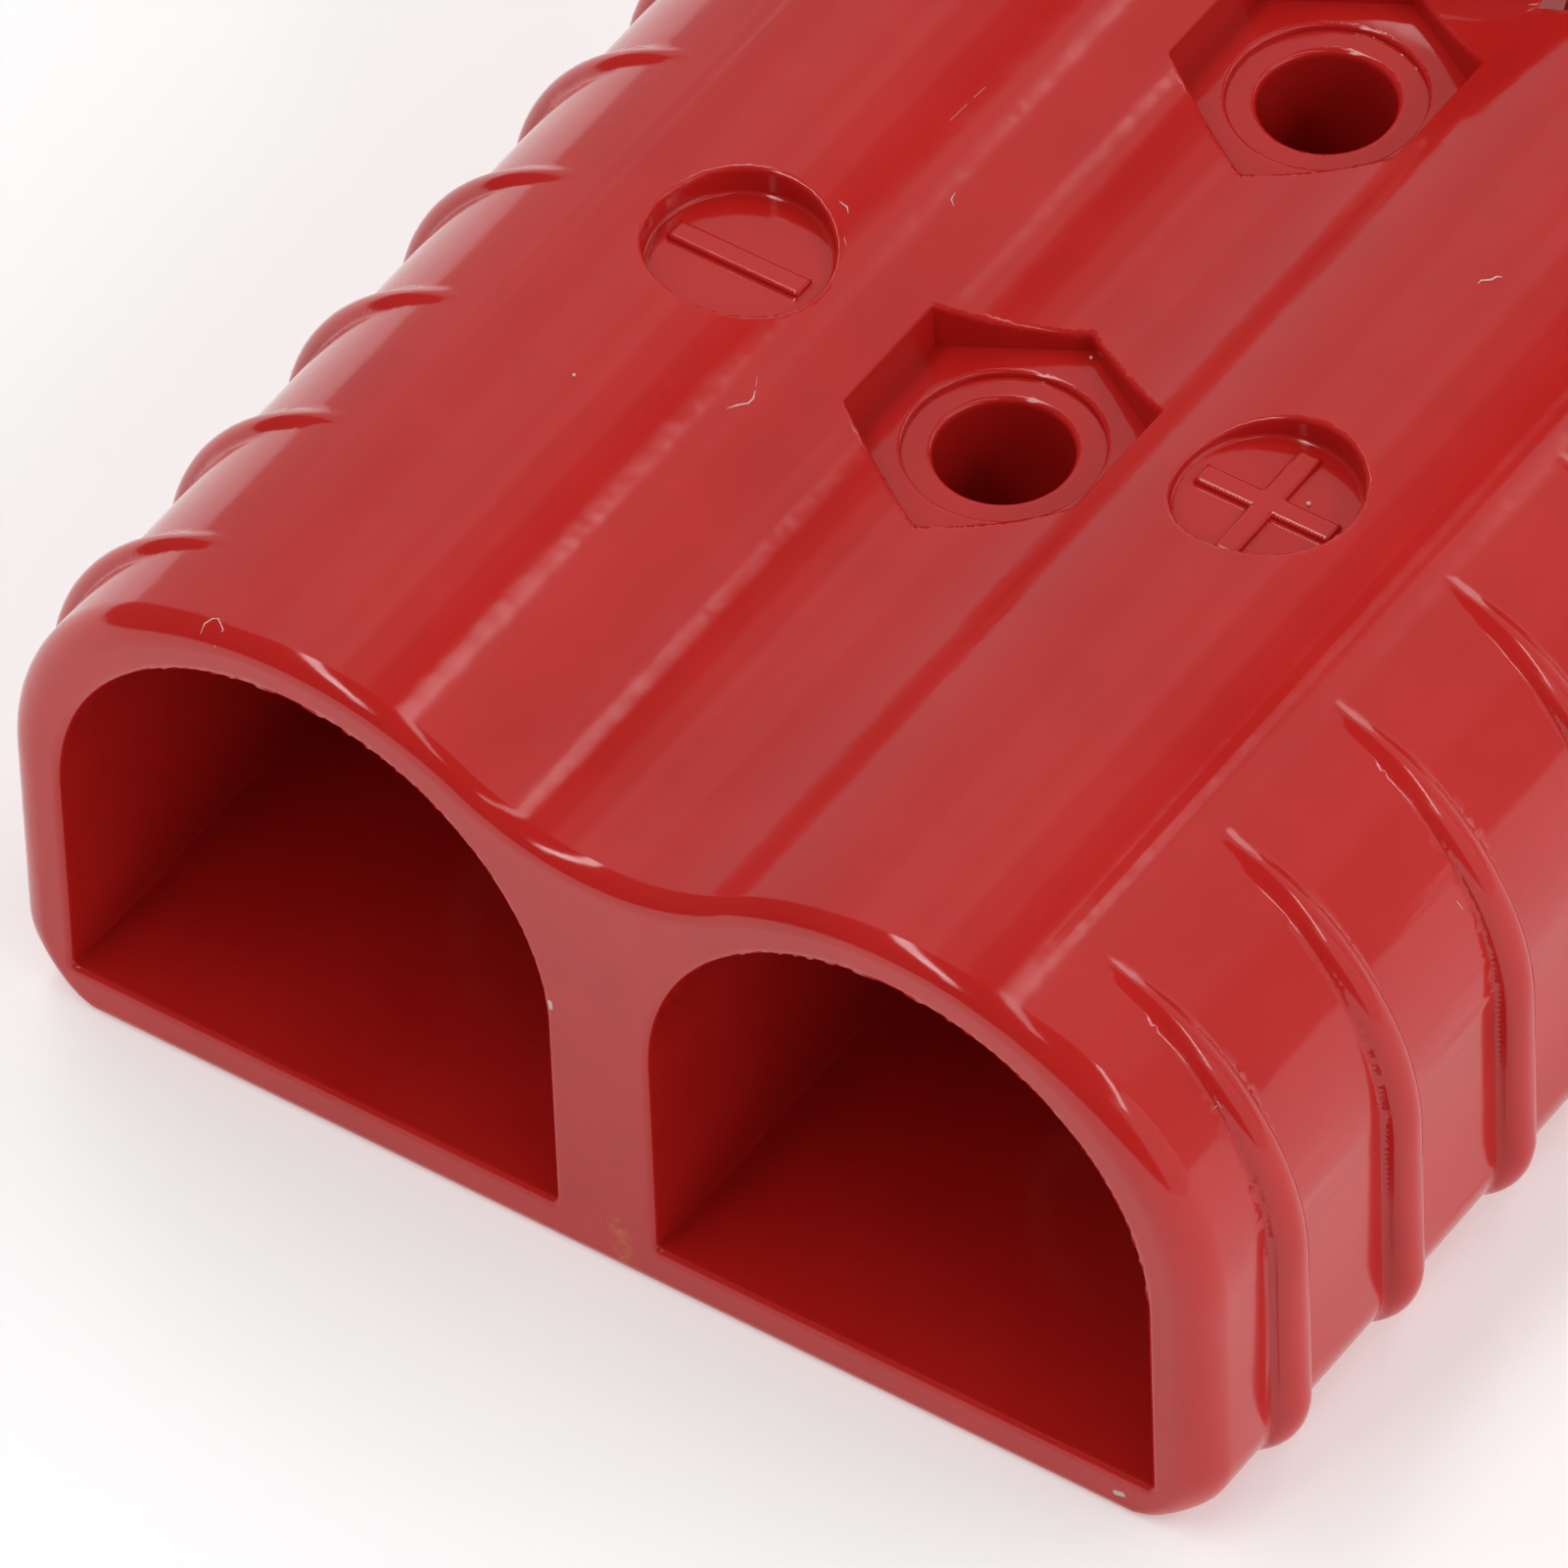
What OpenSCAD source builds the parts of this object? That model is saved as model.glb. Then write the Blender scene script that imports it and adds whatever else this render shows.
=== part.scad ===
// Two-pole genderless power connector: one moulded housing with two cable
// tunnels at the rear, a hood and two tongues at the mating end, and in each
// pole a crimp contact that floats on a leaf spring.
// +Y runs from the cable end to the mating end, +Z is up, millimetres.

/* [Housing] */
// Overall length, cable face to mating face
body_len = 78.7; // [76:0.1:82]
// Half width over the plain side walls
half_w = 27.35; // [27.1:0.05:27.8]
// Height of the two humps over the flat underside
hump_top = 24.9; // [24.7:0.1:25.2]
// Height of the hood over the flat underside
hood_h = 26.2; // [26:0.1:26.6]
// Half distance between the two pole centres
pole_x = 13.5; // [13.3:0.1:13.6]
// Radius over each hump on the valley side
hump_r = 14.6; // [13:0.1:15]
// Height of the bottom of the valley between the humps
valley_z = 21.1; // [21:0.1:21.6]
// Radius of the lower side corners
corner_r = 3.6; // [3:0.1:4]
// Radius of the rounded rear rim
rim_r = 1.2; // [0.8:0.1:1.5]

/* [Cable tunnels] */
// Radius of the arch, also half the tunnel width
tun_r = 11.2; // [11:0.01:11.4]
// Height of the arch centre
arch_z = 11.75; // [11.6:0.05:11.9]
// Height of the tunnel floor
floor_z = 2; // [1.8:0.1:2.4]
// Depth of the tunnels from the cable face
tun_len = 40.5; // [39:0.5:41]

/* [Mounting holes] */
// First hole, distance from the cable face
hole_y1 = 27.7; // [27:0.1:28]
// Distance between the two holes
hole_pitch = 22.2; // [22:0.1:22.4]
// Radius of the through holes
hole_r = 2.72; // [2.6:0.01:2.8]
// Width across flats of the nut pockets
nut_af = 10.35; // [10:0.05:10.5]
// Height of the nut pocket floor
nut_z = 20.2; // [20:0.1:20.4]

/* [Grip ribs] */
// Ribs on each side
rib_n = 7; // [5:1:7]
// Distance between ribs
rib_pitch = 7.68; // [7:0.01:7.7]
// First rib, distance from the cable face
rib_y1 = 5.1; // [5:0.1:5.4]
// Radius of the rounded rib section
rib_r = 0.87; // [0.8:0.01:0.9]

/* [Polarity marks] */
// Radius of the round recesses
mark_r = 3.8; // [3.6:0.05:4]
// Distance of the marks from the cable face
mark_y = 27.7; // [27:0.1:29]
// Distance of the marks from the middle
mark_x = 12; // [11.8:0.1:12.6]

/* [Contacts] */
// Blade width
blade_w = 15.4; // [14:0.1:15.6]
// Blade thickness
blade_t = 3.4; // [3:0.1:3.5]
// Bore radius of the crimp barrel
crimp_r = 5.45; // [5:0.05:5.5]
// Outer radius of the crimp barrel
barrel_r = 6.75; // [6.6:0.05:6.9]
// Rear end of the barrel from the cable face
barrel_y = 17.6; // [17:0.1:18]

/* [Hidden] */
eps = 0.02;
mid = hood_h / 2;
hump_c = hump_top - hump_r;                      // hump arc, inner side
a0 = pole_x; h0 = valley_z - hump_c;
valley_r = (a0*a0 + h0*h0 - hump_r*hump_r) / (2*(hump_r - h0));
valley_c = valley_z + valley_r;
th_i = asin(a0 / (hump_r + valley_r));           // slope where hump meets valley
top_r = 15.9; top_c = hump_top - top_r;          // outer side of each hump
sh_r = 11.9; sh_x = half_w - sh_r;               // shoulder arc
sh_z = top_c + sqrt(pow(top_r - sh_r, 2) - pow(sh_x - pole_x, 2));
th_s = atan2(sh_x - pole_x, sh_z - top_c);
hood_y = 56.5;                                   // shoulder plane under the hood
mate_y = (body_len + hood_y) / 2;                // middle of the engaged length
tongue_y = 74.5;                                 // front of the tongues
hood_in = 57.2;                                  // back wall of the hood
wall = 2.35;
div_t = 1.4;                                     // half thickness of the divider
tw0 = 1.75; tw1 = half_w - wall - 0.35;          // tongue sides
holes = [hole_y1, hole_y1 + hole_pitch];
blade_top = 14.3; blade_z = blade_top - blade_t;

function arc(cx, cz, r, t0, t1, n) = [for (i = [0:n]) let (t = t0 + (t1 - t0)*i/n) [cx + r*sin(t), cz + r*cos(t)]];
function half_outline(d, b) = concat(
    arc(half_w - corner_r, corner_r - d + b, corner_r - d, 180, 90, 6),
    arc(sh_x, sh_z, sh_r - d, 90, th_s, 12),
    arc(pole_x, top_c, top_r - d, th_s - 3, 3, 6),
    arc(pole_x, hump_c, hump_r - d, 0, -th_i, 8),
    [for (p = arc(0, valley_c, valley_r + d, 180 - th_i + 3, 180, 7)) p]);
function outline(d = 0, b = 0) = let (h = half_outline(d, b))
    concat(h, [for (i = [len(h) - 2:-1:0]) [-h[i][0], h[i][1]]]);

// a flat figure in x, z pushed from y0 to y1
module run(y0, y1) translate([0, y1, 0]) rotate([90, 0, 0]) linear_extrude(y1 - y0) children();
// a flat figure in y, z pushed from x0 to x1
module across(x0, x1) translate([x0, 0, 0]) rotate([90, 0, 90]) linear_extrude(x1 - x0) children();
module both() { children(); mirror([1, 0, 0]) children(); }

module rounded_box_2d(x, z0, z1, r) {
    translate([-x, z0 + r]) square([2*x, z1 - z0 - 2*r]);
    translate([-x + r, z0]) square([2*x - 2*r, z1 - z0]);
    for (s = [-1, 1], z = [z0 + r, z1 - r]) translate([s*(x - r), z]) circle(r, $fn = 48);
}

// rear part: constant section with a rounded rear rim
module shell() {
    n = 5;
    run(rim_r, hood_y + 2) polygon(outline());
    for (i = [0:n - 1])
        let (y0 = rim_r*i/n, y1 = rim_r*(i + 1)/n + (i == n - 1 ? eps : 0), q = rim_r - (y0 + y1)/2, d = rim_r - sqrt(rim_r*rim_r - q*q))
            run(y0, y1) polygon(outline(d, 0.35*d));
}

// front part: the hood block, with a ramp up from the humps
module hood_block() intersection() {
    run(hood_y - 1.5, body_len) rounded_box_2d(half_w, 0, hood_h, corner_r);
    across(-half_w - 1, half_w + 1)
        polygon([[hood_y - 1.2, -1], [hood_y - 1.2, 19.5], [hood_y + 2.2, hood_h - 0.2], [hood_y + 2.8, hood_h + 1], [body_len + 1, hood_h + 1], [body_len + 1, -1]]);
}

// one grip rib: a round bar that rises out of the hump, runs down the side
// and turns in under the lower corner
module rib(y) translate([0, y, 0]) {
    cx = 16.4; cz = 12; px = half_w + 0.2;
    translate([px, 0, 4.5]) cylinder(r = rib_r, h = cz - 4.5, $fn = 32);
    translate([cx, 0, cz]) rotate([90, 0, 0]) rotate_extrude(angle = 78, $fn = 96) translate([px - cx, 0]) circle(rib_r, $fn = 32);
    translate([px - 3.6, 0, 4.5]) rotate([90, 0, 0]) rotate([0, 0, -85]) rotate_extrude(angle = 85, $fn = 96) translate([3.6, 0]) circle(rib_r, $fn = 32);
}

module tunnel_2d() translate([pole_x, 0]) {
    translate([0, arch_z]) circle(tun_r, $fn = 96);
    translate([-tun_r, floor_z]) square([2*tun_r, arch_z - floor_z]);
}

// hollow of the right-hand pole
module hollow() {
    difference() {
        union() {
            intersection() {
                run(-1, tun_len) tunnel_2d();
                translate([0, -1, floor_z]) cube([40, 60, 30]);
            }
            // core behind the hood, above the blade
            intersection() {
                run(45, hood_in + 1) translate([pole_x, arch_z]) circle(10.5, $fn = 96);
                translate([0, 44, blade_top + 0.2]) cube([40, 20, 30]);
            }
        }
        for (y = holes) translate([0, y, -1]) cylinder(r = 4.7, h = 40, $fn = 64);
    }
    // slot for the blade
    translate([pole_x - blade_w/2 - 0.3, tun_len - 1, 9]) cube([blade_w + 0.6, hood_in + 1 - tun_len, blade_top + 0.2 - 9]);
    // seat of the leaf spring
    translate([pole_x - 4.9, 44, 8.2]) cube([9.8, 28.5, 1.5]);
    // inside of the hood
    across(div_t, half_w - wall)
        polygon([[hood_in, mid + 0.05], [hood_in, 19.4], [hood_in + 3.2, hood_h - wall], [body_len + 1, hood_h - wall], [body_len + 1, mid + 0.05]]);
    // room above and beside the blade over the tongue
    translate([pole_x - blade_w/2 - 0.3, hood_in - 1, 9]) cube([blade_w + 0.6, 40, mid - 8.9]);
}

// space that the mating hood takes around the tongues
module tongue_cut() difference() {
    translate([-40, hood_y, -1]) cube([80, 40, mid + 1.05]);
    both() difference() {
        translate([tw0, hood_y - 1, wall + 0.35]) cube([tw1 - tw0, tongue_y - hood_y + 1, mid - 0.25 - wall - 0.35]);
        // lead-in at the nose of the tongue
        across(0, 40) polygon([[tongue_y - 3.2, wall - 0.5], [tongue_y + 1, wall + 2.6], [tongue_y + 1, wall - 0.5]]);
    }
}

module mark(s) translate([s*mark_x, mark_y, 0]) difference() {
    translate([0, 0, 23.6]) cylinder(r = mark_r, h = 5, $fn = 72);
    translate([-3, -0.49, 23]) cube([6, 0.98, 0.82]);
    if (s > 0) translate([-0.49, -3, 23]) cube([0.98, 6, 0.82]);
}

module housing() color([0.72, 0.13, 0.11]) translate([0, -body_len/2, 0]) difference() {
    union() {
        shell();
        hood_block();
        both() for (i = [0:rib_n - 1]) rib(rib_y1 + i*rib_pitch);
    }
    both() hollow();
    tongue_cut();
    for (y = holes) translate([0, y, 0]) {
        translate([0, 0, -1]) cylinder(r = hole_r, h = 40, $fn = 64);
        translate([0, 0, nut_z]) rotate([0, 0, 30]) cylinder(r = nut_af/sqrt(3), h = 20, $fn = 6);
        translate([0, 0, nut_z - 0.28]) cylinder(r = 3.9, h = 5, $fn = 64);
    }
    mark(-1);
    mark(1);
}

// crimp barrel, neck and flat blade with a nose that hooks over the tongue
module contact() {
    difference() {
        union() {
            translate([0, barrel_y + 19, 12.6]) rotate([90, 0, 0]) cylinder(r = barrel_r, h = 19, $fn = 64);
            across(-6.2, 6.2) polygon([[barrel_y + 17.5, 8.6], [barrel_y + 19.5, 8.6], [tun_len - 0.3, blade_z], [tun_len - 0.3, blade_top], [barrel_y + 19.5, 16.6], [barrel_y + 17.5, 16.6]]);
        }
        translate([0, barrel_y + 17, 12.6]) rotate([90, 0, 0]) cylinder(r = crimp_r, h = 20, $fn = 64);
    }
    across(-blade_w/2, blade_w/2)
        polygon([[tun_len - 1.2, blade_z], [74.9, blade_z], [74.9, 8.9], [75.3, 8.4], [76.9, 8.4], [77.5, 8.9],
                 [77.6, 12.4], [77.2, 13.5], [76.4, 14.1], [75.2, blade_top], [tun_len - 1.2, blade_top]]);
}

module leaf_spring() {
    y0 = 44.4; y1 = 72.2; n = 16; rise = 1.86; t = 0.6; z0 = 8.25;
    function zc(u) = z0 + rise*(1 - cos(360*u))/2;
    across(-4.6, 4.6) polygon(concat(
        [for (i = [0:n]) [y0 + (y1 - y0)*i/n, zc(i/n)]],
        [for (i = [n:-1:0]) [y0 + (y1 - y0)*i/n, zc(i/n) + t]]));
}

module contact_left() color([0.8, 0.8, 0.78]) translate([-pole_x, -body_len/2, 0]) contact();
module contact_right() color([0.8, 0.8, 0.78]) translate([pole_x, -body_len/2, 0]) contact();
module leaf_spring_left() color([0.6, 0.61, 0.62]) translate([-pole_x, -body_len/2, 0]) leaf_spring();
module leaf_spring_right() color([0.6, 0.61, 0.62]) translate([pole_x, -body_len/2, 0]) leaf_spring();

housing();
contact_left();
contact_right();
leaf_spring_left();
leaf_spring_right();
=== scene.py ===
import math
import time

import bpy
import numpy as np
from mathutils import Matrix, Vector


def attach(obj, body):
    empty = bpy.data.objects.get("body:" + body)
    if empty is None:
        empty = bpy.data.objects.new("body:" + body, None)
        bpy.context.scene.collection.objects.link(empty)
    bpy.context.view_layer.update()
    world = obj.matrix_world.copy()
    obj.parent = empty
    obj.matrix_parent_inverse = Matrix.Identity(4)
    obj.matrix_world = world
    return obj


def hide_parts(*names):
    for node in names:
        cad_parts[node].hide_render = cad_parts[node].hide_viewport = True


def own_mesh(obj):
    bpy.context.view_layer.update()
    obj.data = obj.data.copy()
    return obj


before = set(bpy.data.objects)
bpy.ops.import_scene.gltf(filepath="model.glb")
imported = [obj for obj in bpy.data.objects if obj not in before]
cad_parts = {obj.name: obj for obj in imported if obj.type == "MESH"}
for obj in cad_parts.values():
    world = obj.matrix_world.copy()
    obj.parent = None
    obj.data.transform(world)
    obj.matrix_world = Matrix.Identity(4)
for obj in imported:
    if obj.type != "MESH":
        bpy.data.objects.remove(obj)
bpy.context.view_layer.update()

T0 = time.time()
scene = bpy.context.scene

# The housing is one moulding whose looks are in its blends: a rounded rear rim, soft shoulders, half-round ribs that
# run out on the humps, small radii on every moulded edge. It is described here as a distance field with true radii,
# contoured with vertices on the edges, and thinned out. Lengths in this part are millimetres.
# ---------------------------------------------------------------- dimensions, mm (y from the cable face)
L=78.7; HW=27.35; HT=24.9; HOOD=26.2; PX=13.5; VZ=21.1; CR=3.6
AZ=11.75; TR=11.2; FZ=2.0; TL=40.5
HOLES=(27.7,49.9); HOLE_R=2.72; AF=10.35; NZ=20.2
HR=14.6; HC=HT-HR; MX=12.0; MY=27.7
_h0=VZ-HC
VR=(PX*PX+_h0*_h0-HR*HR)/(2*(HR-_h0)); VC=VZ+VR
TI=math.asin(PX/(HR+VR))
TPR=15.9; TC=HT-TPR; SR=11.9; SX=HW-SR
SZ=TC+math.sqrt((TPR-SR)**2-(SX-PX)**2); TS=math.atan2(SX-PX,SZ-TC)
MID=HOOD/2; HY=56.5; HIN=57.2; TY=74.5; WALL=2.35; DT=1.4; TW0=1.75; TW1=HW-WALL-.35
BW=15.4; BT=14.3
def isect(a,b,r):
    return np.minimum(-r,np.maximum(a,b))+np.hypot(np.maximum(a+r,0),np.maximum(b+r,0))
def union(a,b,r): return -isect(-a,-b,r)
def sub(a,b,r): return isect(a,-b,r)
def sstep(a,b,x):
    t=np.clip((x-a)/(b-a),0,1); return t*t*(3-2*t)
def box(x,x0,x1): return np.maximum(x0-x,x-x1)
def box3(x,y,z,x0,x1,y0,y1,z0,z1): return np.maximum(np.maximum(box(x,x0,x1),box(y,y0,y1)),box(z,z0,z1))
def rbox3(x,y,z,x0,x1,y0,y1,z0,z1,r):
    qx=np.abs(x-(x0+x1)/2)-(x1-x0)/2+r; qy=np.abs(y-(y0+y1)/2)-(y1-y0)/2+r; qz=np.abs(z-(z0+z1)/2)-(z1-z0)/2+r
    return np.sqrt(np.maximum(qx,0)**2+np.maximum(qy,0)**2+np.maximum(qz,0)**2)+np.minimum(np.maximum(qx,np.maximum(qy,qz)),0)-r
def top2(ax,z):
    dv=VR-np.hypot(ax,z-VC)
    dh=np.hypot(ax-PX,z-HC)-HR
    dt=np.hypot(ax-PX,z-TC)-TPR
    ds=np.where(z>SZ,np.hypot(ax-SX,z-SZ)-SR,ax-HW)
    inv=ax*math.cos(TI)<(VC-z)*math.sin(TI)
    inv|=(z>VC)&(ax<PX*.5)
    int_=(ax>=PX)&((ax-PX)*math.cos(TS)<(z-TC)*math.sin(TS))
    return np.where(inv,dv,np.where(int_,dt,np.where(ax<PX,dh,ds)))
def rib(ax,y,z):
    cx,cz,px,cr,zc=16.4,12.0,HW+.2,3.6,4.5
    R=px-cx
    # path in x,z: arc up, straight, arc under the corner
    ang=np.arctan2(z-cz,ax-cx); angc=np.clip(ang,0,1.36)
    d1=np.hypot(ax-cx-R*np.cos(angc),z-cz-R*np.sin(angc))
    d2=np.hypot(ax-px,z-np.clip(z,zc,cz))
    ang=np.arctan2(z-zc,ax-(px-cr)); angc=np.clip(ang,-1.48,0)
    d3=np.hypot(ax-(px-cr)-cr*np.cos(angc),z-zc-cr*np.sin(angc))
    d=np.minimum(np.minimum(d1,d2),d3)
    i=np.clip(np.round((y-5.1)/7.68),0,6)
    return np.hypot(d,y-5.1-7.68*i)-0.87
def hexd(x,y):
    x=np.abs(x); y=np.abs(y)
    return np.maximum(x,x*.5+y*.8660254)-AF/2
def sdf(x,y,z):
    ax=np.abs(x)
    # outer form: rear outline and hood, inside the box with rounded lower and upper corners
    T=top2(ax,z)
    ramp=((y-55.4)*(-6.5)+(z-19.5)*3.4)/7.3355
    hood=isect(z-HOOD,np.maximum(ramp,55.4-y),1.2)
    U=union(T,hood,1.3)
    cx=HW-CR
    qz=np.abs(z-HOOD/2)-(HOOD/2-CR); qx=ax-cx
    B=np.where((qx>0)&(qz>0),np.hypot(qx,qz)-CR,np.maximum(ax-HW,np.abs(z-HOOD/2)-HOOD/2))
    d=np.maximum(U,B)
    # rear rim and front edge
    rr=.92+.7*sstep(15.,26.,ax); rr=.4+(rr-.4)*np.maximum(sstep(1.5,7.,z),sstep(23.5,26.5,ax))
    d=isect(d,-y,rr)
    d=isect(d,y-L,.5)
    # grip ribs
    m=(ax>18)&(y<54)
    if m.any():
        k=np.nonzero(m); d[k]=np.maximum(union(d[k],rib(ax[k],y[k],z[k]),.10),-z[k])
    # room for the mating hood, and the tongues
    m=y>HY-3
    if m.any():
        k=np.nonzero(m); xx,yy,zz,dd=ax[k],y[k],z[k],d[k]
        dd=sub(dd,np.maximum(zz-MID-.05,HY-yy),.3)
        t=rbox3(xx,yy,zz,TW0,TW1,40.,TY,WALL+.35,MID-.25,.4)
        t=np.maximum(t,((yy-(TY-3.2))*2.6-(zz-(WALL-.5))*4.0)/4.77)
        dd=union(dd,t,.25)
        d[k]=dd
    # cable tunnels
    m=(y<TL+4)
    if m.any():
        k=np.nonzero(m); xx,yy,zz,dd=ax[k],y[k],z[k],d[k]
        r=TR-.006*np.clip(yy,0,40)
        ux=np.abs(xx-PX)
        arch=np.where(zz>AZ,np.hypot(ux,zz-AZ)-r,ux-r)
        t=isect(arch,FZ+.004*np.clip(yy,0,40)-zz,.15)
        t=isect(t,yy-TL,.5)
        for hy in HOLES:
            t=sub(t,np.hypot(xx,yy-hy)-4.7,.5)
        dd=sub(dd,t,.28)
        d[k]=dd
    m=(y>TL-4)
    if m.any():
        k=np.nonzero(m); xx,yy,zz,dd=ax[k],y[k],z[k],d[k]
        # core behind the hood
        t=np.maximum(np.hypot(xx-PX,zz-AZ)-10.5,box(yy,45.,HIN+1))
        t=np.maximum(t,BT+.2-zz)
        t=sub(t,np.hypot(xx,yy-HOLES[1])-4.7,.4)
        dd=sub(dd,t,.15)
        # slot for the blade, seat of the spring
        dd=sub(dd,rbox3(xx,yy,zz,PX-BW/2-.3,PX+BW/2+.3,TL-1.,HIN+1,9.,BT+.2,.2),.15)
        dd=np.maximum(dd,-box3(xx,yy,zz,PX-4.9,PX+4.9,44.,72.5,8.2,9.7))
        # inside of the hood
        t=np.maximum(box(xx,DT,HW-WALL),np.maximum(HIN-yy,MID+.05-zz))
        t=np.maximum(t,np.maximum(zz-(HOOD-WALL),((yy-HIN)*(-4.45)+(zz-19.4)*3.2)/5.481))
        dd=sub(dd,t,.3)
        dd=sub(dd,np.maximum(box(xx,PX-BW/2-.3,PX+BW/2+.3),np.maximum(HIN-1-yy,9.-zz)),.15)
        d[k]=dd
    # mounting holes with nut pockets
    for hy in HOLES:
        m=(ax<8.5)&(np.abs(y-hy)<8.5)
        if m.any():
            k=np.nonzero(m); xx,yy,zz,dd=x[k],y[k]-hy,z[k],d[k]
            rr=np.hypot(xx,yy)
            dd=sub(dd,np.maximum(hexd(xx,yy),NZ-zz),.13)
            dd=sub(dd,np.maximum(rr-3.9,NZ-.26-zz),.12)
            dd=sub(dd,rr-HOLE_R,.22)
            d[k]=dd
    # round recesses with the polarity marks
    for s in (-1,1):
        m=(np.abs(x-s*MX)<5.2)&(np.abs(y-MY)<5.2)&(z>21)
        if m.any():
            k=np.nonzero(m); xx,yy,zz,dd=x[k]-s*MX,y[k]-MY,z[k],d[k]
            t=isect(np.hypot(xx,yy)-3.7,23.58-zz,.16)
            b=rbox3(xx,yy,zz,-3.0,3.0,-.49,.49,22.,23.82,.09)
            if s>0: b=np.minimum(b,rbox3(xx,yy,zz,-.49,.49,-3.0,3.0,22.,23.82,.09))
            t=sub(t,b,.06)
            dd=sub(dd,t,.13)
            d[k]=dd
    return d
BOX_LO=np.array([-(HW+1.07),0.,0.]); BOX_HI=np.array([HW+1.07,L,HOOD])
def lines(marks,B,k):
    """Grid lines from (end, step) pairs, steps times k, padded to whole blocks of B cells."""
    g=[marks[0][0]]
    for end,h in marks[1:]:
        n=max(1,int(round((end-g[-1])/(h*k)))); g+=list(np.linspace(g[-1],end,n+1)[1:])
    h=g[-1]-g[-2]
    while (len(g)-1)%B: g.append(g[-1]+h)
    return np.array(g)
def grid(k,B):
    X=lines([(-29.2137,0),(-MX-4.02,.27),(-MX+4.02,.14),(-5.7,.25),(5.7,.17),(MX-4.02,.25),(MX+4.02,.14),(29.2,.27)],B,k)
    Y=lines([(-.8829,0),(3.2,.22),(MY-5.9,.27),(MY-4.02,.2),(MY+4.02,.14),(MY+5.9,.18),(HOLES[1]-5.9,.27),(HOLES[1]+5.9,.18),(63.,.27),(L+.9,.36)],B,k)
    Z=lines([(-.8887,0),(1.6,.2),(19.75,.27),(20.35,.1),(23.4,.25),(24.0,.09),(HOOD+.9,.25)],B,k)
    return X,Y,Z
def evalp(P,chunk=400000):
    out=np.empty(len(P))
    for i in range(0,len(P),chunk):
        q=P[i:i+chunk]; out[i:i+chunk]=sdf(q[:,0].copy(),q[:,1].copy(),q[:,2].copy())
    return out
def grad(P,e=.004):
    g=np.empty_like(P)
    for a in range(3):
        q=P.copy(); q[:,a]+=e; f1=evalp(q); q[:,a]-=2*e; f0=evalp(q); g[:,a]=(f1-f0)/(2*e)
    n=np.linalg.norm(g,axis=1); n[n<1e-9]=1
    return g/n[:,None], n
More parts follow.
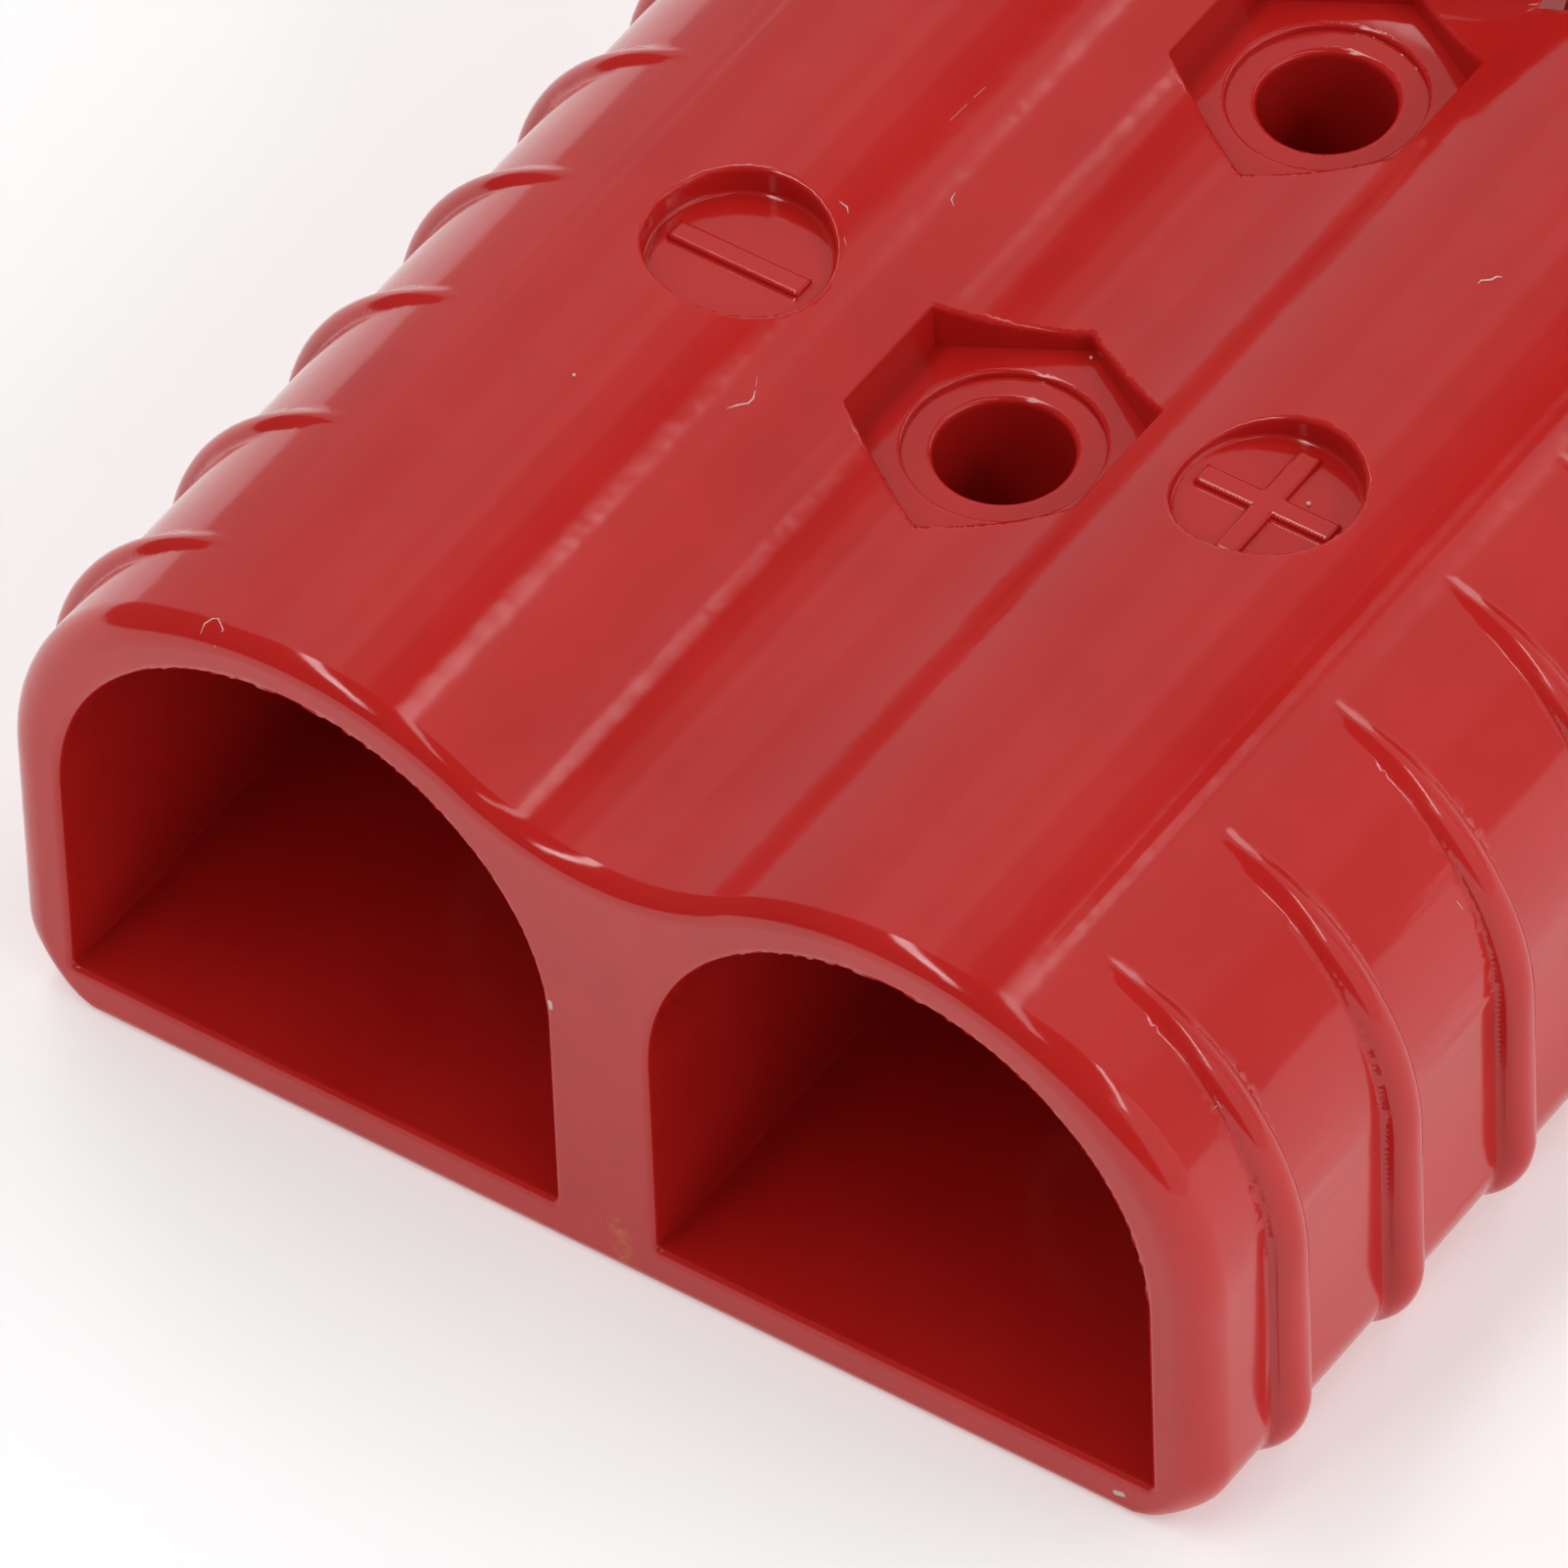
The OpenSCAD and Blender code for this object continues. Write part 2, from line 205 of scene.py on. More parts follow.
def contour(k,B=8):
    t0=time.time()
    G=grid(k,B); nb=np.array([(len(g)-1)//B for g in G])
    ii=np.stack(np.meshgrid(*[np.arange(n) for n in nb],indexing='ij'),-1).reshape(-1,3)
    lo=np.stack([G[a][ii[:,a]*B] for a in range(3)],1); hi=np.stack([G[a][ii[:,a]*B+B] for a in range(3)],1)
    keep=np.abs(evalp((lo+hi)/2))<np.linalg.norm(hi-lo,axis=1)/2*1.35+.05
    ii=ii[keep]; print('cells',[len(g)-1 for g in G],'blocks',len(keep),'kept',keep.sum(),round(time.time()-t0,1))
    N=(nb*B+1).astype(np.int64)
    def nid(I): return (I[...,0]*N[1]+I[...,1])*N[2]+I[...,2]
    loc=np.stack(np.meshgrid(*[np.arange(B+1)]*3,indexing='ij'),-1)
    def at(I): return np.stack([G[a][I[...,a]] for a in range(3)],-1)
    E=[]
    for s in range(0,len(ii),600):
        b=ii[s:s+600]
        I=b[:,None,None,None,:]*B+loc[None]
        P=at(I)
        f=evalp(P.reshape(-1,3)).reshape(P.shape[:-1])
        neg=f<0
        for a in range(3):
            sl0=[slice(None)]*4; sl1=[slice(None)]*4; sl0[a+1]=slice(0,B); sl1[a+1]=slice(1,B+1)
            sl0,sl1=tuple(sl0),tuple(sl1)
            ch=neg[sl0]!=neg[sl1]
            if ch.any():
                n0=I[sl0][ch]; E.append(np.column_stack([n0,np.full(len(n0),a),f[sl0][ch],f[sl1][ch]]))
    E=np.concatenate(E)
    key=nid(E[:,:3].astype(np.int64))*3+E[:,3].astype(np.int64)
    _,u=np.unique(key,return_index=True); E=E[u]
    print('edges',len(E),round(time.time()-t0,1))
    I0=E[:,:3].astype(np.int64); ax=E[:,3].astype(int); f0=E[:,4]; f1=E[:,5]
    P0=at(I0); I1=I0.copy(); I1[np.arange(len(I1)),ax]+=1; D=at(I1)-P0
    a=np.zeros(len(E)); b=np.ones(len(E)); fa=f0.copy(); fb=f1.copy()
    for it in range(3):
        t=np.clip(fa/(fa-fb),.02,.98); t=a+(b-a)*t
        ft=evalp(P0+D*t[:,None])
        left=(ft<0)==(fa<0)
        a=np.where(left,t,a); fa=np.where(left,ft,fa); b=np.where(left,b,t); fb=np.where(left,fb,ft)
    t=a+(b-a)*(fa/(fa-fb))
    X=P0+D*t[:,None]
    Nn,_=grad(X)
    print('hermite',round(time.time()-t0,1))
    # the four cells round each edge
    oth=np.array([[1,2],[2,0],[0,1]])
    u_=np.zeros((len(E),3),np.int64); v_=u_.copy(); r=np.arange(len(E))
    u_[r,oth[ax,0]]=1; v_[r,oth[ax,1]]=1
    cells=np.stack([I0-u_-v_,I0-v_,I0,I0-u_],1)
    cid=(((cells[...,0]+1)*(N[1]+1)+cells[...,1]+1)*(N[2]+1)+cells[...,2]+1)
    uq,inv=np.unique(cid.reshape(-1),return_inverse=True); nc=len(uq); inv=inv.reshape(-1)
    Xr=np.repeat(X,4,0); Nr=np.repeat(Nn,4,0)
    cnt=np.bincount(inv,minlength=nc)
    mean=np.stack([np.bincount(inv,Xr[:,k],nc) for k in range(3)],1)/cnt[:,None]
    dd=((Xr-mean[inv])*Nr).sum(1)
    A=np.empty((nc,3,3)); bb=np.empty((nc,3))
    for i in range(3):
        bb[:,i]=np.bincount(inv,Nr[:,i]*dd,nc)
        for j in range(i,3):
            A[:,i,j]=A[:,j,i]=np.bincount(inv,Nr[:,i]*Nr[:,j],nc)
    w,V=np.linalg.eigh(A)
    good=w>(.06*w[:,2:3])
    wi=np.where(good,1/np.where(good,w,1),0)
    del_=np.einsum('nij,nj,nkj,nk->ni',V,wi,V,bb)
    # keep each vertex inside its cell
    c2=uq%(N[2]+1)-1; c1=uq//(N[2]+1)%(N[1]+1)-1; c0=uq//((N[2]+1)*(N[1]+1))-1
    C=np.stack([c0,c1,c2],1); top=(N-2)[None]; C=np.clip(C,0,top)
    lo=at(C); hi=at(C+1); pad=.08*(hi-lo)
    vert=np.clip(mean+del_,lo-pad,hi+pad)
    q=inv.reshape(-1,4)
    flip=f0>0     # inside to outside along +axis keeps order
    q=np.where(flip[:,None],q[:,::-1],q)
    print('verts',nc,'quads',len(q),round(time.time()-t0,1))
    return vert,q

def make_mesh(name, v, q, target):
    """Contoured quads to a Blender mesh in metres, thinned to about target triangles, with normals from the field."""
    me = bpy.data.meshes.new(name + "_raw")
    me.vertices.add(len(v)); me.vertices.foreach_set("co", (v).astype(np.float32).reshape(-1))
    me.loops.add(len(q) * 4); me.loops.foreach_set("vertex_index", q.astype(np.int32).reshape(-1))
    me.polygons.add(len(q)); me.polygons.foreach_set("loop_start", np.arange(0, len(q) * 4, 4, dtype=np.int32))
    me.update(calc_edges=True); me.validate()
    ob = bpy.data.objects.new(name, me); scene.collection.objects.link(ob)
    tri = ob.modifiers.new("tri", "TRIANGULATE")
    # the marks, nut pockets, rear rim and ribs keep their fine mesh; the rest is thinned first
    ax, y, z = np.abs(v[:, 0]), v[:, 1], v[:, 2]
    fine = (np.hypot(ax - MX, y - MY) < 4.3) & (z > 22)
    for hy in HOLES:
        fine |= (np.hypot(ax, y - hy) < 6.4) & (z > 19)
    fine |= (y < 1.9) & (z > .3)
    fine |= (ax > 19.6) & (z > .3) & (y < 53) & (np.abs(y - 5.1 - 7.68 * np.clip(np.round((y - 5.1) / 7.68), 0, 6)) < 1.15)
    vg = ob.vertex_groups.new(name="fine"); vg.add(np.nonzero(fine)[0].tolist(), 1.0, "REPLACE")
    dec = ob.modifiers.new("thin", "DECIMATE"); dec.ratio = min(1.0, target / (2.0 * len(q)))
    dec.vertex_group = "fine"; dec.invert_vertex_group = True; dec.vertex_group_factor = 1.0
    dg = bpy.context.evaluated_depsgraph_get()
    me2 = bpy.data.meshes.new_from_object(ob.evaluated_get(dg))
    ob.modifiers.clear(); ob.data = me2; bpy.data.meshes.remove(me)
    me2.name = name
    n = len(me2.vertices); co = np.empty(n * 3, np.float32); me2.vertices.foreach_get("co", co)
    P = co.reshape(-1, 3).astype(np.float64)
    # put vertices back on the field's surface where it is smooth; those on an edge stay where the contouring put them
    for it in range(2):
        f = evalp(P); G, gn = grad(P, .02)
        step = np.where((gn > .93) & (np.abs(f) < .04), f, 0.0)
        P = P - G * step[:, None]
    P = np.clip(P, BOX_LO + .004, BOX_HI - .004)
    Gv, _ = grad(P)
    nl = len(me2.loops); li = np.empty(nl, np.int32); me2.loops.foreach_get("vertex_index", li)
    F = li.reshape(-1, 3)
    cen = P[F].mean(1)
    C = P[li]; toc = np.repeat(cen, 3, 0) - C; dl = np.linalg.norm(toc, axis=1)
    mv = np.minimum(.05, .3 * dl) / np.maximum(dl, 1e-9)
    Q = C + toc * mv[:, None]
    Gc, _ = grad(Q, .002)
    same = (Gc * Gv[li]).sum(1) > math.cos(math.radians(18))
    N = np.where(same[:, None], Gv[li], Gc)
    # a wide face that only touches a rounded edge with its corner takes the normal a little way in
    wide = np.nonzero(dl > .35)[0]
    Gw, _ = grad(C[wide] + toc[wide] * (.22 / dl[wide])[:, None], .002)
    turn = (Gw * N[wide]).sum(1) < math.cos(math.radians(9))
    N[wide[turn]] = Gw[turn]
    # a corner whose field normal disagrees with its face keeps the face's own normal
    fn_ = np.cross(P[F[:, 1]] - P[F[:, 0]], P[F[:, 2]] - P[F[:, 0]]); fn_ /= np.maximum(np.linalg.norm(fn_, axis=1), 1e-12)[:, None]
    fr = np.repeat(fn_, 3, 0)
    bad = (N * fr).sum(1) < .3
    N[bad] = fr[bad]
    P[:, 1] -= L / 2
    me2.vertices.foreach_set("co", (P / 1000).astype(np.float32).reshape(-1))
    me2.polygons.foreach_set("use_smooth", np.ones(len(me2.polygons), bool))
    me2.update()
    me2.normals_split_custom_set(N.astype(np.float32))
    print(name, "faces", len(me2.polygons), "verts", n, "bad normals", int(bad.sum()), round(time.time() - T0, 1), "s")
    return ob


vv, qq = contour(1.0)
housing = make_mesh("housing_shell", vv, qq, 192000)
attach(housing, "housing"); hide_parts("housing")


# ---------------------------------------------------------------- materials
PART_Z = 12.0


def new_mat(name):
    m = bpy.data.materials.new(name); m.use_nodes = True
    nt = m.node_tree
    for n in list(nt.nodes):
        nt.nodes.remove(n)
    out = nt.nodes.new("ShaderNodeOutputMaterial"); b = nt.nodes.new("ShaderNodeBsdfPrincipled")
    nt.links.new(b.outputs[0], out.inputs[0])
    return m, nt, b


def node(nt, kind, **kw):
    n = nt.nodes.new("ShaderNode" + kind)
    for k, v in kw.items():
        if k in n.inputs: n.inputs[k].default_value = v
        else: setattr(n, k, v)
    return n


# dust grains and threads of lint lying on the surface: radius mm, points (x, y, z mm in the shared frame)
LINT = [
    (0.095, ((13.246, -10.755, 23.58))),
    (0.036, ((-7.576, -17.053, 23.644), (-7.441, -17.386, 23.584), (-7.448, -17.702, 23.587), (-7.674, -18.086, 23.688), (-7.869, -18.516, 23.771))),
    (0.018, ((-7.853, -16.509, 23.764), (-7.654, -16.897, 23.679))),
    (0.032, ((-7.211, -4.122, 23.476), (-7.148, -4.483, 23.446), (-6.915, -4.634, 23.331))),
    (0.036, ((12.954, 1.338, 24.89), (12.962, 1.529, 24.891), (13.28, 1.784, 24.899), (13.351, 2.014, 24.9), (13.55, 2.115, 24.9))),
    (0.024, ((-17.622, -39.043, 24.055), (-17.666, -38.711, 24.268), (-17.495, -38.435, 24.385), (-17.274, -38.362, 24.446), (-16.775, -38.75, 24.485), (-16.843, -39.268, 23.951))),
    (0.072, ((0.203, -6.023, 20.2))),
    (0.024, ((25.092, -35.251, 19.468), (25.194, -35.011, 19.522))),
    (0.024, ((25.133, -34.98, 19.671), (25.312, -34.997, 19.419))),
    (0.034, ((26.072, -20.352, 17.857), (26.266, -20.255, 17.455))),
    (0.034, ((-10.057, -7.701, 24.489), (-9.686, -7.724, 24.393), (-9.507, -7.924, 24.344))),
    (0.024, ((-9.013, -8.923, 24.194), (-8.74, -9.199, 24.102))),
    (0.072, ((-13.053, -21.069, 24.893))),
    (0.018, ((-9.113, -1.601, 24.225), (-9.059, -0.481, 24.208))),
    (0.018, ((-9.049, -0.094, 24.205), (-9.005, 0.642, 24.191))),
]


def lint_mesh(name):
    """Grains as small rounded beads and threads as thin closed tubes, resting on the housing's surface."""
    V, F = [], []
    for r, pts in LINT:
        P = np.array(pts, float).reshape(-1, 3) + [0, L / 2, 0]
        G, _ = grad(P, .05); P = P + G * (r * .55)
        if len(P) == 1:
            rings = [(P[0] + G[0] * (r * t), r * math.sqrt(max(1 - t * t, .02))) for t in (-.8, -.4, 0, .4, .8)]; d = [G[0]] * 5
        else:
            d = np.gradient(P, axis=0); rings = [(p, r * (.45 if i in (0, len(P) - 1) else 1)) for i, p in enumerate(P)]
        base = len(V); k = 8
        for (c, rr), t in zip(rings, d):
            t = t / np.linalg.norm(t); u = np.cross(t, [.31, .22, .93] if abs(t[2]) < .8 else [1, .1, 0]); u /= np.linalg.norm(u); w_ = np.cross(t, u)
            V += [tuple(c + rr * (math.cos(a) * u + math.sin(a) * w_)) for a in np.arange(k) * 2 * math.pi / k]
        n = len(rings)
        for i in range(n - 1):
            F += [(base + i * k + j, base + i * k + (j + 1) % k, base + (i + 1) * k + (j + 1) % k, base + (i + 1) * k + j) for j in range(k)]
        F += [tuple(base + j for j in range(k))[::-1], tuple(base + (n - 1) * k + j for j in range(k))]
    V = (np.array(V) - [0, L / 2, 0]) / 1000
    me = bpy.data.meshes.new(name); me.from_pydata(V.tolist(), [], F); me.validate()
    for p in me.polygons: p.use_smooth = True
    o = bpy.data.objects.new(name, me); scene.collection.objects.link(o)
    return o


def math_node(nt, op, a, b=None, c=None, clamp=False):
    n = nt.nodes.new("ShaderNodeMath"); n.operation = op; n.use_clamp = clamp
    for i, v in enumerate((a, b, c)):
        if v is None: continue
        if isinstance(v, (int, float)): n.inputs[i].default_value = v
        else: nt.links.new(v, n.inputs[i])
    return n.outputs[0]


def vec_node(nt, op, a, b=None, scale=None):
    n = nt.nodes.new("ShaderNodeVectorMath"); n.operation = op
    for i, v in enumerate((a, b)):
        if v is None: continue
        if isinstance(v, tuple): n.inputs[i].default_value = v
        else: nt.links.new(v, n.inputs[i])
    if scale is not None: nt.links.new(scale, n.inputs["Scale"])
    return n


def thread_mask(nt, pos, a, b, r, soft=.45):
    """1 within r of the line from a to b, falling to 0 just outside; millimetres in, metres inside."""
    a = tuple(v / 1000 for v in a); b = tuple(v / 1000 for v in b); r = r / 1000
    rel = vec_node(nt, "SUBTRACT", pos, a).outputs["Vector"]
    ba = tuple(q - p for p, q in zip(a, b)); l2 = sum(v * v for v in ba)
    if l2 > 1e-12:
        t = math_node(nt, "MULTIPLY", vec_node(nt, "DOT_PRODUCT", rel, tuple(v / l2 for v in ba)).outputs["Value"], 1.0, clamp=True)
        along = vec_node(nt, "SCALE", ba, scale=t).outputs["Vector"]
        rel = vec_node(nt, "SUBTRACT", rel, along).outputs["Vector"]
    d = vec_node(nt, "LENGTH", rel).outputs["Value"]
    return math_node(nt, "MULTIPLY_ADD", d, -1.0 / (soft * r), 1.0 / soft, clamp=True)


def red_plastic():
    m, nt, b = new_mat("red_moulded_plastic")
    lk = nt.links.new
    tc = node(nt, "TexCoord"); pos = tc.outputs["Object"]
    # colour: a faint mottling of the pigment
    n1 = node(nt, "TexNoise", Scale=140.0, Detail=2.0, Roughness=.6); lk(pos, n1.inputs["Vector"])
    mr = node(nt, "MapRange"); lk(n1.outputs["Fac"], mr.inputs["Value"])
    mr.inputs["From Min"].default_value = .3; mr.inputs["From Max"].default_value = .7
    mix = node(nt, "Mix", data_type="RGBA"); lk(mr.outputs[0], mix.inputs[0])
    mix.inputs[6].default_value = (.480, .0125, .0100, 1); mix.inputs[7].default_value = (.530, .0165, .0135, 1)
    # parting line along both side walls, a hairline darker than the wall
    xyz = node(nt, "SeparateXYZ"); lk(pos, xyz.inputs[0])
    line = math_node(nt, "MULTIPLY_ADD", math_node(nt, "ABSOLUTE", math_node(nt, "SUBTRACT", xyz.outputs[2], PART_Z / 1000)), -1 / .00004, 1.2, clamp=True)
    line = math_node(nt, "MULTIPLY", line, math_node(nt, "GREATER_THAN", math_node(nt, "ABSOLUTE", xyz.outputs[0]), (HW - .15) / 1000))
    line = math_node(nt, "MULTIPLY", line, math_node(nt, "LESS_THAN", math_node(nt, "ABSOLUTE", xyz.outputs[0]), (HW + .1) / 1000))
    line = math_node(nt, "MULTIPLY", line, math_node(nt, "LESS_THAN", xyz.outputs[1], .0165))
    mixp = node(nt, "Mix", data_type="RGBA"); lk(math_node(nt, "MULTIPLY", line, .45), mixp.inputs[0]); lk(mix.outputs[2], mixp.inputs[6])
    mixp.inputs[7].default_value = (.16, .004, .003, 1)
    # orange-brown stain at the foot of the column between the tunnels, broken up by noise
    st = thread_mask(nt, pos, (.61, -39.35, 2.3), (.88, -39.35, .75), .62, 1.0)
    n4 = node(nt, "TexNoise", Scale=2600.0, Detail=2.0); lk(pos, n4.inputs["Vector"])
    st = math_node(nt, "MULTIPLY", st, math_node(nt, "MULTIPLY_ADD", n4.outputs["Fac"], 4.0, -1.5, clamp=True))
    mixs = node(nt, "Mix", data_type="RGBA"); lk(math_node(nt, "MULTIPLY", st, .85), mixs.inputs[0]); lk(mixp.outputs[2], mixs.inputs[6])
    mixs.inputs[7].default_value = (.56, .10, .018, 1)
    # pale nick on the rear face and a tick on the edge of the tunnel
    dust = math_node(nt, "MAXIMUM", thread_mask(nt, pos, (23.11, -39.35, .92), (23.42, -39.35, .99), .15), thread_mask(nt, pos, (-2.05, -39.35, 13.19), (-2.02, -39.35, 12.89), .12))
    mixd = node(nt, "Mix", data_type="RGBA"); lk(math_node(nt, "MULTIPLY", dust, .85), mixd.inputs[0]); lk(mixs.outputs[2], mixd.inputs[6])
    mixd.inputs[7].default_value = (.62, .56, .50, 1)
    lk(mixd.outputs[2], b.inputs["Base Color"])
    # gloss: slightly uneven
    n2 = node(nt, "TexNoise", Scale=420.0, Detail=1.0); lk(pos, n2.inputs["Vector"])
    mr2 = node(nt, "MapRange"); lk(n2.outputs["Fac"], mr2.inputs["Value"])
    mr2.inputs["To Min"].default_value = .08; mr2.inputs["To Max"].default_value = .13
    rg = math_node(nt, "MULTIPLY_ADD", dust, .4, mr2.outputs[0])
    lk(rg, b.inputs["Roughness"])
    b.inputs["IOR"].default_value = 1.52
    # surface: moulding ripple and fine grain
    n3 = node(nt, "TexNoise", Scale=900.0, Detail=1.0); lk(pos, n3.inputs["Vector"])
    bp = node(nt, "Bump", Strength=.035, Distance=.0002); lk(n3.outputs["Fac"], bp.inputs["Height"])
    lk(bp.outputs[0], b.inputs["Normal"])
    return m


def metal(name, col, r0, r1, scale):
    m, nt, b = new_mat(name)
    lk = nt.links.new
    tc = node(nt, "TexCoord"); mp = node(nt, "Mapping"); lk(tc.outputs["Object"], mp.inputs["Vector"]); mp.inputs["Scale"].default_value = scale
    n1 = node(nt, "TexNoise", Scale=60.0, Detail=4.0); lk(mp.outputs[0], n1.inputs["Vector"])
    mr = node(nt, "MapRange"); lk(n1.outputs["Fac"], mr.inputs["Value"]); mr.inputs["To Min"].default_value = r0; mr.inputs["To Max"].default_value = r1
    lk(mr.outputs[0], b.inputs["Roughness"])
    b.inputs["Metallic"].default_value = 1.0
    n2 = node(nt, "TexNoise", Scale=25.0, Detail=3.0); lk(tc.outputs["Object"], n2.inputs["Vector"])
    mix = node(nt, "Mix", data_type="RGBA"); lk(n2.outputs["Fac"], mix.inputs[0])
    mix.inputs[6].default_value = (*[c * .9 for c in col], 1); mix.inputs[7].default_value = (*col, 1)
    lk(mix.outputs[2], b.inputs["Base Color"])
    bp = node(nt, "Bump", Strength=.08, Distance=.0001); lk(n1.outputs["Fac"], bp.inputs["Height"]); lk(bp.outputs[0], b.inputs["Normal"])
    return m


RED = red_plastic()
SILVER = metal("silver_plate", (.86, .84, .80), .22, .38, (1, 6, 1))
STEEL = metal("spring_steel", (.62, .62, .63), .28, .42, (8, 1, 1))
housing.data.materials.clear(); housing.data.materials.append(RED)
lint = lint_mesh("lint"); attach(lint, "housing")
lm, lnt, lb = new_mat("pale_lint")
ltc = node(lnt, "TexCoord"); ln = node(lnt, "TexNoise", Scale=3000.0, Detail=2.0); lnt.links.new(ltc.outputs["Object"], ln.inputs["Vector"])
lmx = node(lnt, "Mix", data_type="RGBA"); lnt.links.new(ln.outputs["Fac"], lmx.inputs[0])
lmx.inputs[6].default_value = (.62, .34, .31, 1); lmx.inputs[7].default_value = (.88, .66, .63, 1)
lnt.links.new(lmx.outputs[2], lb.inputs["Base Color"]); lb.inputs["Roughness"].default_value = .7
lbp = node(lnt, "Bump", Strength=.2, Distance=.00002); lnt.links.new(ln.outputs["Fac"], lbp.inputs["Height"]); lnt.links.new(lbp.outputs[0], lb.inputs["Normal"])
lint.data.materials.append(lm)
for nm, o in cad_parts.items():
    mt = STEEL if nm.startswith("leaf") else SILVER if nm.startswith("contact") else RED
    for i in range(max(1, len(o.material_slots))):
        if not o.material_slots: o.data.materials.append(mt)
        else: o.material_slots[i].material = mt
# the leaf springs are pressed flat by the blades as the contacts rock; each is copied here unchanged as a strip that
# rides with the housing
for side in ("left", "right"):
    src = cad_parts["leaf_spring_" + side]
    me = src.data.copy(); me.transform(src.matrix_world)
    o = bpy.data.objects.new("spring_strip_" + side, me); scene.collection.objects.link(o)
    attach(o, "housing"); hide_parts("leaf_spring_" + side)
    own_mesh(o)

# ---------------------------------------------------------------- floor, light, camera
def plane(name, w, h, mat):
    me = bpy.data.meshes.new(name)
    me.from_pydata([(-w / 2, -h / 2, 0), (w / 2, -h / 2, 0), (w / 2, h / 2, 0), (-w / 2, h / 2, 0)], [], [(0, 1, 2, 3)])
    me.materials.append(mat)
    o = bpy.data.objects.new(name, me); scene.collection.objects.link(o)
    return o


fm, nt, b = new_mat("floor_white")
b.inputs["Base Color"].default_value = (.80, .80, .80, 1); b.inputs["Roughness"].default_value = .9
b.inputs["Specular IOR Level"].default_value = .1
b.inputs["Emission Color"].default_value = (1, 1, 1, 1); b.inputs["Emission Strength"].default_value = .30
floor = plane("floor", 6, 6, fm); floor.location = (0, 0, -.00005)


def area(name, loc, target, w, h, radiance, glossy=True, up="Y"):
    l = bpy.data.lights.new(name, "AREA"); l.shape = "RECTANGLE"; l.size = w; l.size_y = h
    l.energy = radiance * w * h * math.pi
    o = bpy.data.objects.new(name, l); scene.collection.objects.link(o)
    o.location = loc
    o.rotation_euler = (Vector(target) - Vector(loc)).to_track_quat("-Z", up).to_euler()
    o.visible_camera = False; o.visible_glossy = glossy
    return o


def wall(name, x0, x1, z0, z1, radiance, y=1.5):
    """An upright card behind the part, facing it squarely."""
    return area(name, ((x0 + x1) / 2, y, (z0 + z1) / 2), ((x0 + x1) / 2, 0, (z0 + z1) / 2), x1 - x0, z1 - z0, radiance)


def lamp(name, p, q, z, width, radiance):
    """A thin strip lamp overhead between two points, facing down."""
    dx, dy = q[0] - p[0], q[1] - p[1]; ln = math.hypot(dx, dy)
    l = bpy.data.lights.new(name, "AREA"); l.shape = "RECTANGLE"; l.size = width; l.size_y = ln
    l.energy = radiance * width * ln * math.pi
    o = bpy.data.objects.new(name, l); scene.collection.objects.link(o)
    o.location = ((p[0] + q[0]) / 2, (p[1] + q[1]) / 2, z); o.rotation_euler = (0, 0, math.atan2(dy, dx) - math.pi / 2)
    o.visible_camera = False
    return o


# two white walls behind the part with a dark gap between them, in upright strips (x from, x to, radiance)
WALL_TOP = 2.72
WALLS = [(-2.8, -2.2, .38), (-2.2, -1.6, .44), (-1.6, -1.1, .60), (-1.1, -.88, .52), (-.88, -.68, .65), (-.68, -.28, .39),
         (-.28, -.08, .14), (-.08, .06, .07), (.34, .56, .58), (.56, 1.2, .55), (1.2, 1.8, .50), (1.8, 2.8, .30)]
for i, (x0, x1, r) in enumerate(WALLS):
    wall("wall_%02d" % i, x0, x1, 0, WALL_TOP, r)
area("side_right", (2.4, .1, 1.0), (0, .1, 1.0), 2.6, 2.0, .64)
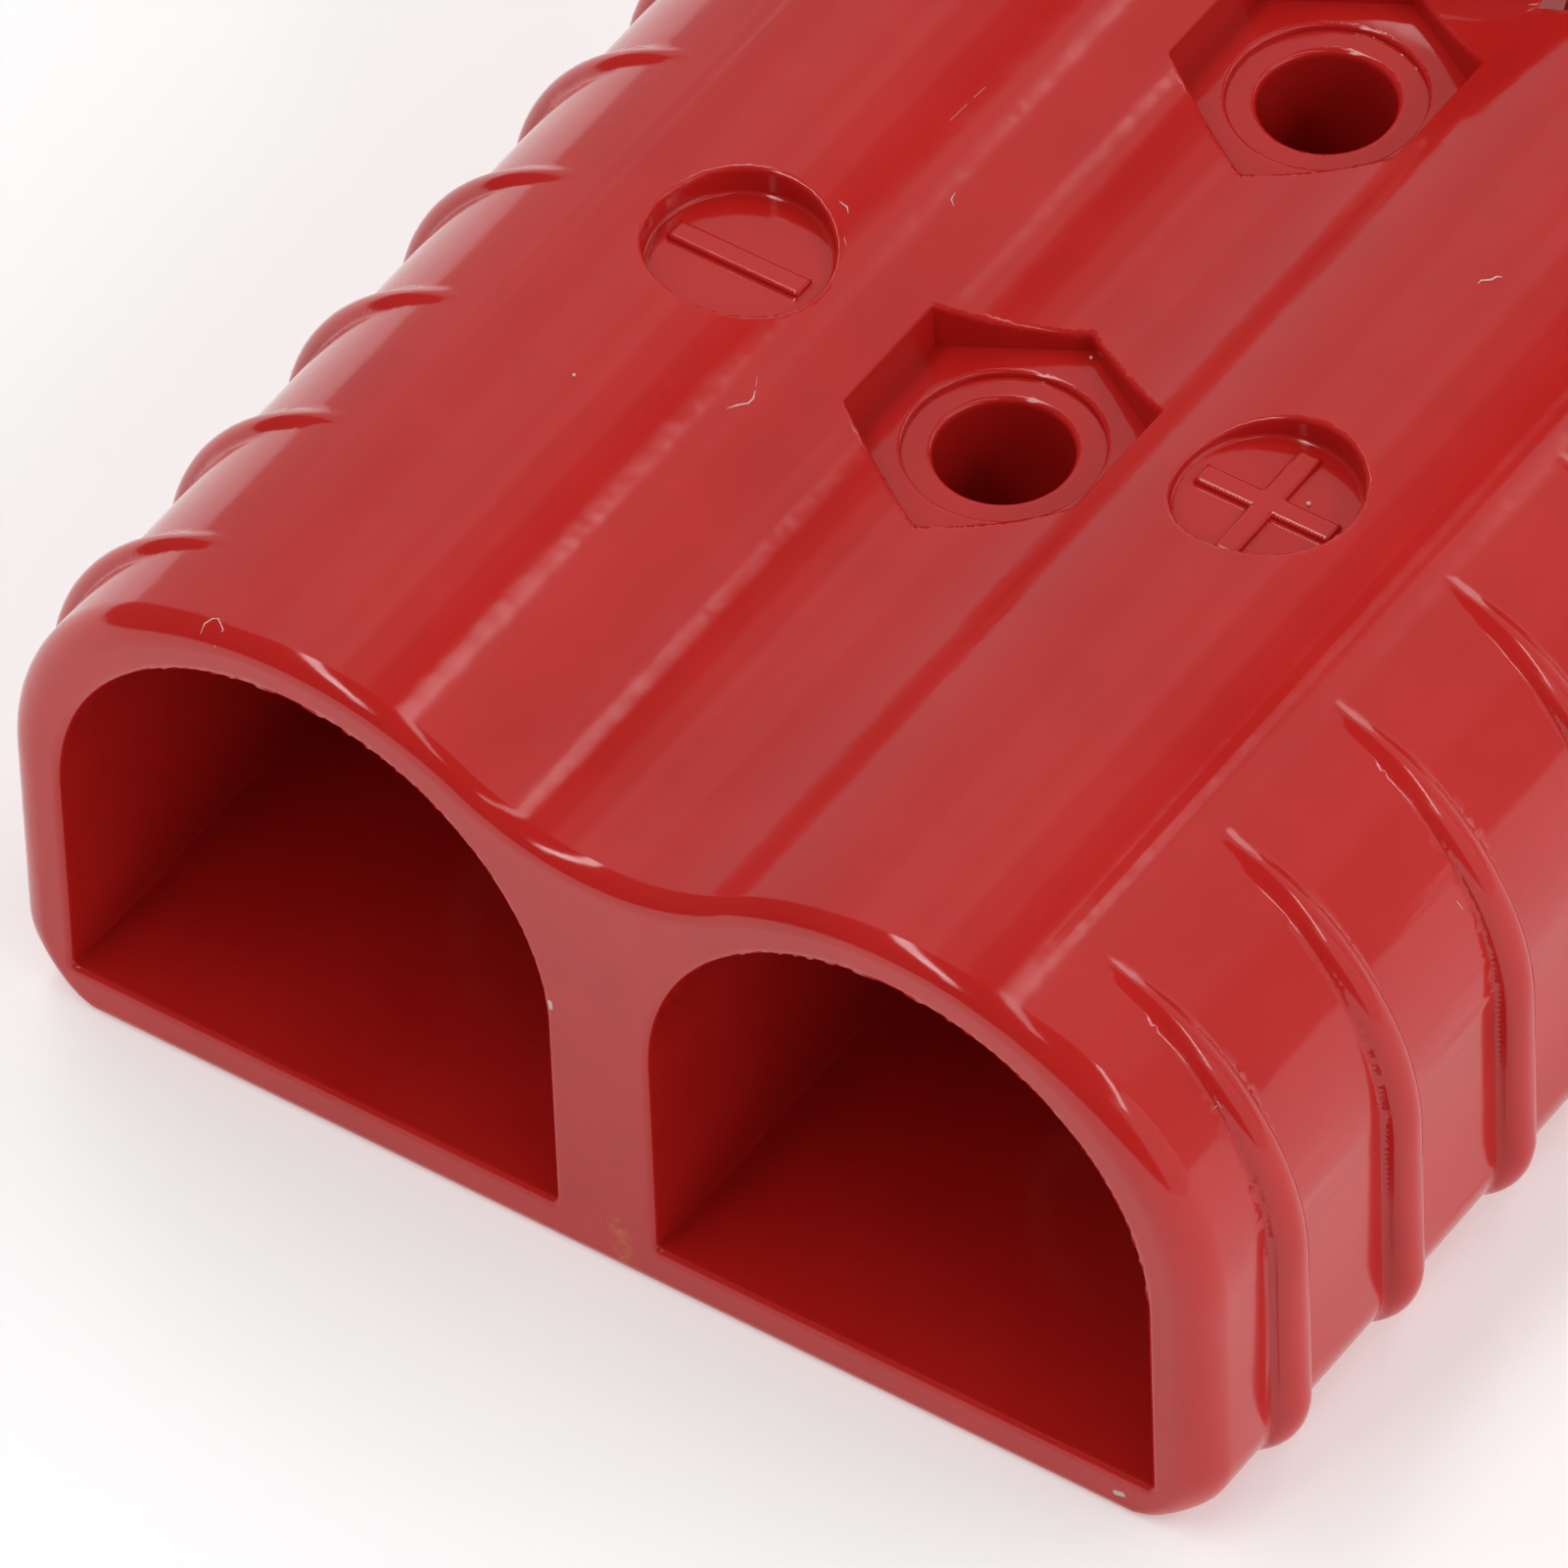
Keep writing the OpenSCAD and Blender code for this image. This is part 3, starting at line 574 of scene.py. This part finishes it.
# strip lamps overhead (from, to, width, radiance)
LAMPS = [((-.56, .68), (-.33, -.22), .15, 6.5), ((-.33, -.22), (-.17, -.95), .15, 8.5), ((-.17, -.95), (-.22, -1.4), .15, 4.5),
         ((.15, .77), (.31, .04), .12, 3.0), ((.31, .04), (.52, -.62), .10, 2.8), ((.37, .90), (.43, 2.1), .10, 3.0), ((.95, .75), (1.75, -.35), .12, 9.0)]
for i, (p, q, wd, r) in enumerate(LAMPS):
    lamp("lamp_%02d" % i, p, q, 1.2, wd, r)
# broad fill that only lights the surfaces and is not mirrored in them
area("fill_top", (0, -.3, 2.6), (0, 0, 0), 5, 5, .08, False)
area("fill_left", (-2.6, 0, 1.3), (0, 0, .2), 4.5, 2.6, .92, False)
area("fill_right", (2.6, 0, 1.3), (0, 0, .2), 4.5, 2.6, .8, False)
area("fill_front", (.4, -2.6, 1.3), (0, 0, .2), 4.5, 2.6, .25, False)
w = bpy.data.worlds.new("world"); scene.world = w; w.use_nodes = True
w.node_tree.nodes["Background"].inputs[0].default_value = (1, 1, 1, 1)
w.node_tree.nodes["Background"].inputs[1].default_value = .08

K = .7935e-3
CAM = dict(az=0.628398778576904, el=0.8107014767178103, roll=-0.04208831712327603, f=24208.810581836282, D=1128.065538737683,
           tx=624.2496835494404, ty=1292.6102801430452, cx=800.0, cy=800.0)


def camera():
    a, e, r = CAM["az"], CAM["el"], CAM["roll"]
    back = np.array([math.sin(a) * math.cos(e), -math.cos(a) * math.cos(e), math.sin(e)])
    right = np.array([math.cos(a), math.sin(a), 0.0]); up = np.cross(back, right)
    c, s = math.cos(r), math.sin(r)
    R, U = c * right + s * up, -s * right + c * up
    ox = (CAM["tx"] - CAM["cx"]) * CAM["D"] / CAM["f"]; oy = (CAM["ty"] - CAM["cy"]) * CAM["D"] / CAM["f"]
    C = K * (-ox * R + oy * U + CAM["D"] * back) + np.array([.0003, -L / 2000 - .0001, 0])
    cam = bpy.data.cameras.new("camera"); o = bpy.data.objects.new("camera", cam); scene.collection.objects.link(o)
    o.matrix_world = Matrix(((R[0], U[0], back[0], C[0]), (R[1], U[1], back[1], C[1]), (R[2], U[2], back[2], C[2]), (0, 0, 0, 1)))
    cam.sensor_width = 36.0; cam.lens = CAM["f"] / 1601 * 36
    cam.clip_start = .05; cam.clip_end = 20
    scene.camera = o
    return o


camera()
scene.view_settings.view_transform = "Standard"
scene.view_settings.look = "None"
bpy.context.view_layer.update()
print("script", round(time.time() - T0, 1), "s")
